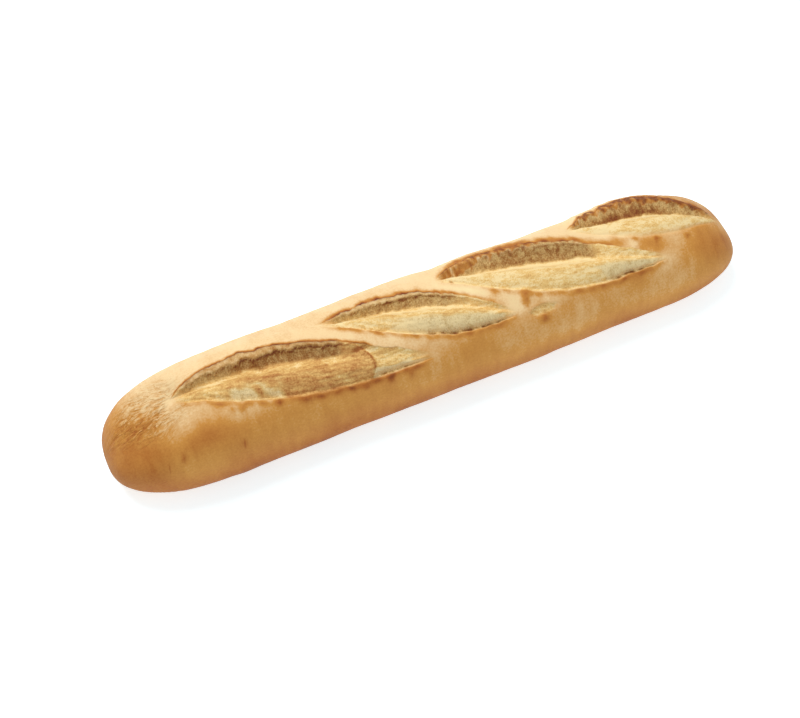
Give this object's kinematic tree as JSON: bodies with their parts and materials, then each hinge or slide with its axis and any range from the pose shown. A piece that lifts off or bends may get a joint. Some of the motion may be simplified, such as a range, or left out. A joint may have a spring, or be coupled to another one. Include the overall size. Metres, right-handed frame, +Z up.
{
  "type": "baguette",
  "caption": "Baked baguette loaf with rounded ends and overlapping slanted cuts that have opened along its crown into pale bloom and browned ears.",
  "frame": {"origin": "under the middle of the loaf, on the surface that it lies on", "axes": "+X along the loaf from the end with the first cut to the end with the last one, +Y to the side of the lifted ears, +Z up"},
  "size_m": [0.4, 0.0752, 0.0569],
  "materials": {
    "crust": "golden baked crust, satin to matte, pale bloom in the cuts"
  },
  "bodies": {
    "root": {"baguette": "crust"}
  },
  "joints": []
}
